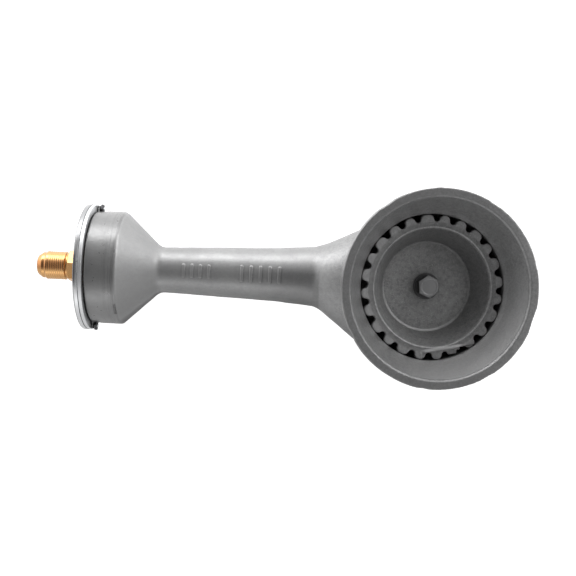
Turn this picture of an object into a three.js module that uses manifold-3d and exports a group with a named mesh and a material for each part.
// Cast-iron atmospheric gas burner: bell mouth with air shutter and brass inlet fitting,
// tapered mixing tube, bowl head with a toothed port cup. Millimetres, +Z up.
// The tube runs along X with its inlet at -X. The base pad stands on Z = 0.
// The bowl is at X = 0 and its axis leans toward +X, away from the tube.
import * as THREE from 'three';
import Module from 'manifold-3d';

// Suffixes: _R radius, _X place along the tube, _T distance up the bowl axis from
// the tube's height. START is toward -X and END toward +X.

// ---------- casting ----------
const TUBE_Z = 30;    // tube axis above the base
const HEAD_Y = -2.55; // the bowl sits a little off the tube axis
const LEAN = 12 * Math.PI / 180; // bowl axis, from +Z toward +X
const PAD_R = 22;
const RIM_R = 60.5, RIM_T = 54;
const LIP_R = 55.1;   // inner edge of the rim
const LEDGE_R = 45, LEDGE_T = 32.4; // throat of the bowl, level with the port teeth
const BOSS_R = 9, BOSS_TOP_T = 11.5;
const BELL_R = 36.2, BELL_INNER_R = 32.2;
const BELL_START_X = -209.9, BELL_END_X = -190.8;
const CONE_END_X = -167.3, TUBE_END_X = -67;
const TUBE_START_R = 14.4, TUBE_END_R = 17.9, TUBE_WALL = 3.6;
const THROAT_R = 10.8;

// ---------- port cup and its bolt ----------
const MOUTH_R = 36.6, MOUTH_T = 33.4;
const FLOOR_R = 27.1, FLOOR_T = 15.6;
const TEETH = 24, TEETH_TURN = -0.7; // turn in degrees
const ROOT_R = 40.6, TIP_R = 44.75;
const FLANGE = 3.6;   // thickness of the toothed flange
const CUT_DIR = 280;  // degrees, direction of both edge cuts in the flange
const FLAT_DIST = 38.7, FLAT_DROP = 0.9; // shallow flat on top of the flange
const GAP_DIST = 40.6; // one tooth is missing beyond this distance
const BOLT_R = 3.9, BOLT_FLATS = 12.7, BOLT_HEAD = 5.3;
const BOLT_HEAD_T = FLOOR_T + 3.8;

// ---------- mixer end ----------
const PLATE_START_X = -212.6, PLATE_END_X = -210.5, PLATE_R = 40.3;
const SHUTTER_START_X = -215.9, SHUTTER_END_X = -212.9, SHUTTER_R = 40.7;
const WINDOWS = 4, WINDOW_INNER_R = 13.2, WINDOW_OUTER_R = 29.4;
const WINDOW_HALF = 21; // half of a window's angle, degrees
const SLOT_R = 34.5, SLOT_HALF = 2.6; // centre line and half width of the shutter slot
const SWING = 45, SWING_SPARE = 0.6;  // slot length, degrees
const EAR_R = 37.9, EAR_TURN = -6;    // plate screws, polar from the tube axis
const EAR_TIP_R = 4.2, EAR_START_X = -210.3, EAR_END_X = -208.9;
const SCREW_HOLE_R = 1.75;
const NOSE_X = -248, HEX_START_X = -227.4, HEX_END_X = -221;
const FITTING_R = 7, FITTING_HOLE_R = 7.3, SHUTTER_HOLE_R = 7.08;
const CUT_START_X = -220, CUT_END_X = -200; // through cuts in the thin parts

const wasm = await Module();
wasm.setup();

// ---------- frames ----------
// along is the axis; deg0 and deg90 are the directions of 0 and 90 degrees across it
const vector = (x, y, z) => new THREE.Vector3(x, y, z);
const TUBE = {
  origin: vector(0, 0, TUBE_Z),
  along: vector(1, 0, 0),
  deg0: vector(0, 1, 0),
  deg90: vector(0, 0, 1),
};
const HEAD = {
  origin: vector(0, HEAD_Y, TUBE_Z),
  along: vector(Math.sin(LEAN), 0, Math.cos(LEAN)),
  deg0: vector(Math.cos(LEAN), 0, -Math.sin(LEAN)),
  deg90: vector(0, 1, 0),
};
const BASE = {
  origin: vector(0, 0, 0),
  along: vector(0, 0, 1),
  deg0: vector(1, 0, 0),
  deg90: vector(0, 1, 0),
};
const pointIn = (frame, x, y, distance) => frame.origin.clone()
  .addScaledVector(frame.along, distance)
  .addScaledVector(frame.deg0, x)
  .addScaledVector(frame.deg90, y);
const offset = (frame, x, y) => ({ ...frame, origin: pointIn(frame, x, y, 0) });

// ---------- outlines across an axis ----------
const polar = (radius, degrees) => {
  const angle = degrees * Math.PI / 180;
  return [radius * Math.cos(angle), radius * Math.sin(angle)];
};
function rotated(outline, degrees) {
  const [cos, sin] = polar(1, degrees);
  return outline.map(([x, y]) => [x * cos - y * sin, x * sin + y * cos]);
}
function arc(radius, from, to, steps) {
  const points = [];
  for (let i = 0; i <= steps; i++) points.push(polar(radius, from + (to - from) * i / steps));
  return points;
}
const sector = (inner, outer, from, to, steps) =>
  [...arc(outer, from, to, steps), ...arc(inner, from, to, steps).reverse()];

function curvedSlot(radius, half, from, to) {
  const roundEnd = (at, start) => {
    const [centreX, centreY] = polar(radius, at);
    return arc(half, start, start + 180, 6).slice(1, -1)
      .map(([x, y]) => [centreX + x, centreY + y]);
  };
  return [
    ...arc(radius + half, from, to, 8),
    ...roundEnd(to, to),
    ...arc(radius - half, from, to, 8).reverse(),
    ...roundEnd(from, from + 180),
  ];
}
const hexagon = (flats, turn) =>
  [0, 1, 2, 3, 4, 5].map((k) => polar(flats / Math.sqrt(3), 60 * k + turn));

// ---------- solids ----------
// Triangles may wind either way, as long as they agree; the volume's sign settles it.
function solid(points, triangles) {
  let volume = 0;
  for (let i = 0; i < triangles.length; i += 3) {
    const [a, b, c] = triangles.slice(i, i + 3).map((k) => points[k]);
    volume += a.dot(b.clone().cross(c));
  }
  if (volume < 0) {
    for (let i = 0; i < triangles.length; i += 3) {
      [triangles[i], triangles[i + 1]] = [triangles[i + 1], triangles[i]];
    }
  }
  return new wasm.Manifold(new wasm.Mesh({
    numProp: 3,
    vertProperties: new Float32Array(points.flatMap(({ x, y, z }) => [x, y, z])),
    triVerts: new Uint32Array(triangles),
  }));
}

// Joins rings of points in order. A ring of one point closes an end.
function skin(rings, segments, closed = false) {
  let count = 0;
  const rows = rings.map((ring) => ring.map(() => count++));
  const triangles = [];
  for (let k = 0; k < (closed ? rows.length : rows.length - 1); k++) {
    const here = rows[k], next = rows[(k + 1) % rows.length];
    for (let i = 0; i < segments; i++) {
      const j = (i + 1) % segments;
      if (here.length === 1) triangles.push(here[0], next[j], next[i]);
      else if (next.length === 1) triangles.push(here[i], here[j], next[0]);
      else triangles.push(here[i], here[j], next[j], here[i], next[j], next[i]);
    }
  }
  return solid(rings.flat(), triangles);
}
const around = (segments, pointAt) =>
  Array.from({ length: segments }, (_, i) => pointAt(i / segments * 2 * Math.PI));

// profile: [radius, distance along the axis]; it starts and ends on the axis,
// or closes on itself. wave(angle) shifts points along the axis.
function turned(frame, profile, segments, wave = () => 0) {
  const rings = profile.map(([radius, distance]) => (radius === 0
    ? [pointIn(frame, 0, 0, distance)]
    : around(segments, (angle) => pointIn(
      frame, radius * Math.cos(angle), radius * Math.sin(angle), distance + wave(angle),
    ))));
  return skin(rings, segments, profile[0][0] > 0);
}
const rod = (frame, radius, from, to, segments) =>
  turned(frame, [[0, from], [radius, from], [radius, to], [0, to]], segments);
const washer = (frame, inner, outer, from, to, segments, wave) => turned(
  frame, [[inner, from], [outer, from], [outer, to], [inner, to]], segments, wave,
);

function prism(frame, outline, from, to) {
  const points = [from, to].flatMap((distance) =>
    outline.map(([x, y]) => pointIn(frame, x, y, distance)));
  const flat = outline.map(([x, y]) => new THREE.Vector2(x, y));
  const count = outline.length;
  const triangles = [];
  for (const [a, b, c] of THREE.ShapeUtils.triangulateShape(flat, [])) {
    triangles.push(a, c, b, a + count, b + count, c + count);
  }
  // the caps always wind one way, so the sides follow the outline's direction
  const forward = THREE.ShapeUtils.area(flat) > 0;
  for (let i = 0; i < count; i++) {
    const j = (i + 1) % count;
    const [start, end] = forward ? [i, j] : [j, i];
    triangles.push(start, end, end + count, start, end + count, start + count);
  }
  return solid(points, triangles);
}

// stations: [x, half width, height above axis, depth below axis, centre y]
function flareLoft(stations, segments) {
  const rings = stations.map(([x, width, above, below, centreY]) =>
    around(segments, (angle) => vector(
      x,
      centreY + width * Math.cos(angle),
      TUBE_Z + (Math.sin(angle) > 0 ? above : below) * Math.sin(angle),
    )));
  const endPoint = (station) => [vector(station[0], 0, TUBE_Z)];
  return skin([endPoint(stations[0]), ...rings, endPoint(stations.at(-1))], segments);
}

// ---------- the casting ----------
const earFrame = (side) => offset(TUBE, ...polar(side * EAR_R, EAR_TURN));

function castingOutside() {
  const tube = turned(TUBE, [
    [0, BELL_START_X], [BELL_R - 0.8, BELL_START_X], [BELL_R, BELL_START_X + 0.8],
    [BELL_R, BELL_END_X - 2.6], [BELL_R - 0.55, BELL_END_X - 0.3],
    [BELL_R - 2.1, BELL_END_X + 2.1], [TUBE_START_R + 3, CONE_END_X - 3.2],
    [TUBE_START_R + 0.9, CONE_END_X], [TUBE_START_R, CONE_END_X + 4],
    [TUBE_END_R, TUBE_END_X], [TUBE_END_R, TUBE_END_X + 12], [0, TUBE_END_X + 12],
  ], 48);
  const flare = flareLoft([
    [-68, 17.2, 17.2, 17.2, -0.4],
    [-64, 20.2, 19.2, 18.9, -0.7],
    [-52, 27.6, 24.4, 22.2, -2.5],
    [-40, 35.3, 28, 23.8, -4.3],
    [-26, 41, 29.4, 23, -3.8],
    [-10, 41.2, 28, 19, -2],
  ], 48);
  const bowl = turned(HEAD, [
    [0, RIM_T], [RIM_R - 0.8, RIM_T], [RIM_R, RIM_T - 0.8], [RIM_R, RIM_T - 5.6],
    [RIM_R - 2.4, RIM_T - 8], [55, 41.5], [51.4, 33], [49.4, 24], [48, 10], [45.4, -4],
    [39.5, -14], [30, -19.4], [20, -21], [0, -21],
  ], 52);
  const pad = turned(BASE, [
    [0, 0], [PAD_R - 0.6, 0], [PAD_R, 0.6], [PAD_R, 7], [PAD_R + 3, 14], [0, 14],
  ], 40);
  return tube.add(flare).add(bowl).add(pad);
}

function castingInside() {
  const tube = turned(TUBE, [
    [0, -216], [BELL_INNER_R, -216], [BELL_INNER_R, BELL_END_X - 1],
    [BELL_INNER_R - 1, BELL_END_X + 1.4], [THROAT_R + 2.4, CONE_END_X - 2.4],
    [THROAT_R, CONE_END_X + 3], [TUBE_END_R - TUBE_WALL, TUBE_END_X],
    [TUBE_END_R - TUBE_WALL, TUBE_END_X + 10], [0, TUBE_END_X + 10],
  ], 40);
  const flare = flareLoft([
    [-66, 14, 14, 14, -0.2],
    [-63, 15.8, 15.4, 15.2, -0.5],
    [-52, 22.9, 19.2, 17.3, -2.4],
    [-40, 30.3, 21.8, 18.3, -4.1],
    [-26, 36, 22.8, 17.8, -3.6],
    [-8, 37, 21.6, 14, -1.9],
  ], 40);
  const bowl = turned(HEAD, [
    [0, 70], [LIP_R + 3, 70], [LIP_R, RIM_T], [LIP_R - 0.3, RIM_T - 1.4], [53.2, 49.6],
    [51, 44.8], [48.9, 39.8], [46.8, 35.8], [LEDGE_R, LEDGE_T], [LEDGE_R, 28], [44.4, 18],
    [43, 6], [39.6, -5], [33, -12.4], [24, -15.4], [0, -15.4],
  ], 52);
  return tube.add(flare).add(bowl);
}

// two ears on the bell mouth for the plate screws, each with a pocket for its nut
function addEars(body) {
  for (const side of [1, -1]) {
    const outline = [
      ...arc(EAR_TIP_R, -90, 90, 10).map(([x, y]) => [EAR_R - 1.9 + x, y]),
      [33, 6.2], [33, -6.2],
    ].map(([x, y]) => [side * x, side * y]);
    body = body
      .add(prism(TUBE, rotated(outline, EAR_TURN), EAR_START_X, EAR_END_X))
      .subtract(rod(earFrame(side), 3.7, EAR_END_X, -205.4, 20));
  }
  return body;
}

function casting() {
  let body = addEars(castingOutside()).subtract(castingInside());
  // boss that carries the cup, and its bolt hole
  body = body.add(turned(HEAD, [
    [0, BOSS_TOP_T], [BOSS_R, BOSS_TOP_T], [BOSS_R, -8], [BOSS_R + 4, -17], [0, -17],
  ], 32));
  const boltHoleR = BOLT_R + 0.3;
  body = body.subtract(turned(HEAD, [
    [0, 20], [boltHoleR, 20], [boltHoleR, -9], [0, -10.5],
  ], 20));
  for (const side of [1, -1]) {
    body = body.subtract(rod(earFrame(side), SCREW_HOLE_R, -212, -204.6, 16));
  }
  return body;
}

// ---------- port cup ----------
function toothedOutline() {
  const pitch = 360 / TEETH;
  // [radius, degrees from the middle of the tooth]
  const tooth = [
    [ROOT_R, -pitch / 2], [ROOT_R + 0.35, -5.5], [ROOT_R + 1.4, -4.5],
    [TIP_R - 1.3, -3.7], [TIP_R - 0.35, -2.5], [TIP_R, 0],
    [TIP_R - 0.35, 2.5], [TIP_R - 1.3, 3.7], [ROOT_R + 1.4, 4.5], [ROOT_R + 0.35, 5.5],
  ];
  const outline = [];
  for (let k = 0; k < TEETH; k++) {
    const middle = (k + 0.5) * pitch + TEETH_TURN;
    for (const [radius, degrees] of tooth) outline.push(polar(radius, middle + degrees));
  }
  return outline;
}

// block beyond a distance toward CUT_DIR, between two offsets to the side of it
function edgeCut(distance, sideFrom, sideTo, bottom) {
  const outline = [[distance, sideFrom], [60, sideFrom], [60, sideTo], [distance, sideTo]];
  return prism(HEAD, rotated(outline, CUT_DIR), bottom, LEDGE_T + 5);
}

function portCup() {
  const flangeBottom = LEDGE_T - FLANGE;
  const wall = turned(HEAD, [
    [0, MOUTH_T], [MOUTH_R + 1, MOUTH_T], [40.1, LEDGE_T], [40.1, LEDGE_T - 1.2],
    [39.2, flangeBottom], [31.4, 13.4], [29.8, 11.8], [0, 11.8],
  ], 52);
  const hollow = turned(HEAD, [
    [0, 40], [MOUTH_R + 0.7, 40], [MOUTH_R + 0.4, MOUTH_T], [MOUTH_R, MOUTH_T - 0.5],
    [FLOOR_R + 1.2, FLOOR_T + 1.3], [FLOOR_R, FLOOR_T], [0, FLOOR_T],
  ], 52);
  return prism(HEAD, toothedOutline(), flangeBottom, LEDGE_T)
    .add(wall)
    .subtract(edgeCut(FLAT_DIST, -12, 22, LEDGE_T - FLAT_DROP))
    .subtract(edgeCut(GAP_DIST, 2.4, 14.6, flangeBottom - 0.5))
    .subtract(hollow)
    .subtract(rod(HEAD, BOLT_R + 0.4, 25, 10, 20));
}

function cupBolt() {
  const bottom = BOLT_HEAD_T, top = BOLT_HEAD_T + BOLT_HEAD;
  // trims the corners of the hexagon
  const dome = turned(HEAD, [
    [0, bottom - 1], [7.3, bottom - 1], [7.3, top - 1], [6, top], [0, top],
  ], 24);
  const shank = turned(HEAD, [
    [0, bottom + 1], [BOLT_R, bottom + 1], [BOLT_R, -5], [BOLT_R - 0.8, -6], [0, -6],
  ], 20);
  return prism(HEAD, hexagon(BOLT_FLATS, 36), bottom, top).intersect(dome).add(shank);
}
const cupWasher = () => washer(HEAD, 4.4, 8.2, FLOOR_T + 0.2, FLOOR_T + 1.6, 28);
const cupSpringWasher = () => washer(HEAD, 4.3, 6.8, FLOOR_T + 1.8, FLOOR_T + 3.6, 28);

// ---------- mixer end ----------
const LOCK = offset(TUBE, 0, -SLOT_R); // lock screw axis, straight below the tube axis

const drill = (body, frame, radius, segments) =>
  body.subtract(rod(frame, radius, CUT_START_X, CUT_END_X, segments));

function cutWindows(body) {
  for (let k = 0; k < WINDOWS; k++) {
    const middle = 45 + 360 / WINDOWS * k;
    const outline = sector(
      WINDOW_INNER_R, WINDOW_OUTER_R, middle - WINDOW_HALF, middle + WINDOW_HALF, 6,
    );
    body = body.subtract(prism(TUBE, outline, CUT_START_X, CUT_END_X));
  }
  return body;
}

function mixerPlate() {
  const start = PLATE_START_X, end = PLATE_END_X;
  let plate = turned(TUBE, [
    [0, start], [PLATE_R - 0.3, start], [PLATE_R, start + 0.3],
    [PLATE_R, end - 0.3], [PLATE_R - 0.3, end], [0, end],
  ], 44);
  plate = cutWindows(drill(plate, TUBE, FITTING_HOLE_R, 24));
  // countersunk screw holes
  for (const side of [1, -1]) {
    plate = plate.subtract(turned(earFrame(side), [
      [0, -215], [3, -215], [3, start + 0.1],
      [SCREW_HOLE_R, start + 1.4], [SCREW_HOLE_R, -205], [0, -205],
    ], 20));
  }
  return drill(plate, LOCK, 2.02, 24);
}

function plateScrew(side) {
  const top = PLATE_START_X + 0.1;
  return turned(earFrame(side), [
    [0, top], [2.7, top], [2.7, top + 0.2], [1.45, top + 1.4],
    [1.45, -206.9], [1.1, -206.5], [0, -206.5],
  ], 20);
}

function plateNut(side) {
  const frame = earFrame(side);
  return drill(prism(frame, hexagon(6, 30 + EAR_TURN), -208.7, -207.1), frame, 1.7, 20);
}

function airShutter() {
  const start = SHUTTER_START_X, end = SHUTTER_END_X;
  const disc = turned(TUBE, [
    [0, start], [SHUTTER_R - 1.2, start], [SHUTTER_R - 0.3, start + 0.6],
    [SHUTTER_R, (start + end) / 2],
    [SHUTTER_R - 0.3, end - 0.6], [SHUTTER_R - 1.2, end], [0, end],
  ], 44);
  const slot = curvedSlot(SLOT_R, SLOT_HALF, -90 - SWING - SWING_SPARE, -90 + SWING_SPARE);
  return cutWindows(drill(disc, TUBE, SHUTTER_HOLE_R, 28))
    .subtract(prism(TUBE, slot, CUT_START_X, CUT_END_X));
}

function lockScrew() {
  const screw = turned(LOCK, [
    [0, -219.6], [3, -219.6], [3.6, -219], [3.6, -216.9], [1.95, -216.9],
    [1.95, -210.9], [1.4, -210.4], [0, -210.4],
  ], 24);
  const driverSlot = [[-5, -0.45], [5, -0.45], [5, 0.45], [-5, 0.45]];
  return screw.subtract(prism(LOCK, driverSlot, -221, -218.5));
}
const lockWasher = () => washer(LOCK, 2.25, 4.3, -216.7, -216.1, 24);

function inletFitting() {
  const collarEnd = HEX_END_X + 1.8;
  const body = turned(TUBE, [
    [0, NOSE_X], [5.4, NOSE_X], [6.5, NOSE_X + 0.7], [8.3, NOSE_X + 3.5],
    [8.3, NOSE_X + 5.4], [9.1, NOSE_X + 6.4], [9.1, HEX_START_X - 2],
    [8.3, HEX_START_X - 1.2], [8.3, HEX_START_X + 2], [8.3, HEX_END_X],
    [11.2, HEX_END_X], [11.2, collarEnd], [FITTING_R, collarEnd],
    [FITTING_R, -199.4], [6.2, -198.6], [0, -198.6],
  ], 28);
  const chamfer = turned(TUBE, [
    [0, HEX_START_X - 1], [9.2, HEX_START_X - 0.2], [10.9, HEX_START_X + 0.8],
    [10.9, HEX_END_X + 1], [0, HEX_END_X + 1],
  ], 24);
  const bore = turned(TUBE, [
    [0, -260], [3.6, -260], [3.6, -212], [4.5, -210], [4.5, -190], [0, -190],
  ], 20);
  return body
    .add(prism(TUBE, hexagon(18.6, 18), HEX_START_X, HEX_END_X + 0.1).intersect(chamfer))
    .subtract(bore);
}

const waveWasher = () => washer(
  TUBE, FITTING_HOLE_R, 10.6, -217.9, -217.2, 30, (angle) => 0.6 * Math.cos(3 * angle),
);

function fittingLocknut() {
  const chamfer = turned(TUBE, [
    [0, -210.5], [10.2, -210.4], [11.6, -209.5], [11.6, -206], [10.2, -205.1], [0, -205.1],
  ], 24);
  const nut = prism(TUBE, hexagon(20, 0), -210.2, -205.3).intersect(chamfer);
  return drill(nut, TUBE, FITTING_HOLE_R, 24);
}

function orificeJet() {
  const stem = turned(TUBE, [
    [0, -206], [4.2, -206], [4.2, -197], [5, -194], [4.6, -192.4], [2.8, -188.6],
    [0, -188.6],
  ], 24);
  const bore = turned(TUBE, [
    [0, -207], [2.6, -207], [2.6, -193.5], [1.1, -191.6], [1.1, -185], [0, -185],
  ], 20);
  return prism(TUBE, hexagon(12, 0), -198.3, -193.4).add(stem).subtract(bore);
}

// ---------- meshes ----------
const FINISH = {
  castIron: { color: 0x6b6c6d, roughness: 0.62, metalness: 0.55 },
  cupIron: { color: 0x5c5d5e, roughness: 0.68, metalness: 0.5 },
  zinc: { color: 0xc9ccd0, roughness: 0.3, metalness: 1 },
  steel: { color: 0x8b8d90, roughness: 0.42, metalness: 0.95 },
  darkSteel: { color: 0x3c3d3f, roughness: 0.5, metalness: 0.9 },
  brass: { color: 0xc9933f, roughness: 0.26, metalness: 1 },
};
const group = new THREE.Group();

function place(name, body, finish) {
  const { vertProperties, triVerts } = body.getMesh();
  const geometry = new THREE.BufferGeometry();
  geometry.setAttribute('position', new THREE.Float32BufferAttribute(vertProperties, 3));
  geometry.setIndex(new THREE.Uint32BufferAttribute(triVerts, 1));
  geometry.computeVertexNormals();
  const mesh = new THREE.Mesh(geometry, new THREE.MeshStandardMaterial(finish));
  mesh.name = name;
  group.add(mesh);
}

place('burner_casting', casting(), FINISH.castIron);
place('port_cup', portCup(), FINISH.cupIron);
place('cup_bolt', cupBolt(), FINISH.steel);
place('cup_washer', cupWasher(), FINISH.steel);
place('cup_spring_washer', cupSpringWasher(), FINISH.steel);
place('mixer_plate', mixerPlate(), FINISH.zinc);
place('plate_screw_a', plateScrew(1), FINISH.steel);
place('plate_screw_b', plateScrew(-1), FINISH.steel);
place('plate_nut_a', plateNut(1), FINISH.darkSteel);
place('plate_nut_b', plateNut(-1), FINISH.darkSteel);
place('air_shutter', airShutter(), FINISH.zinc);
place('lock_screw', lockScrew(), FINISH.steel);
place('lock_washer', lockWasher(), FINISH.steel);
place('inlet_fitting', inletFitting(), FINISH.brass);
place('wave_washer', waveWasher(), FINISH.steel);
place('fitting_locknut', fittingLocknut(), FINISH.brass);
place('orifice_jet', orificeJet(), FINISH.brass);

export default group;
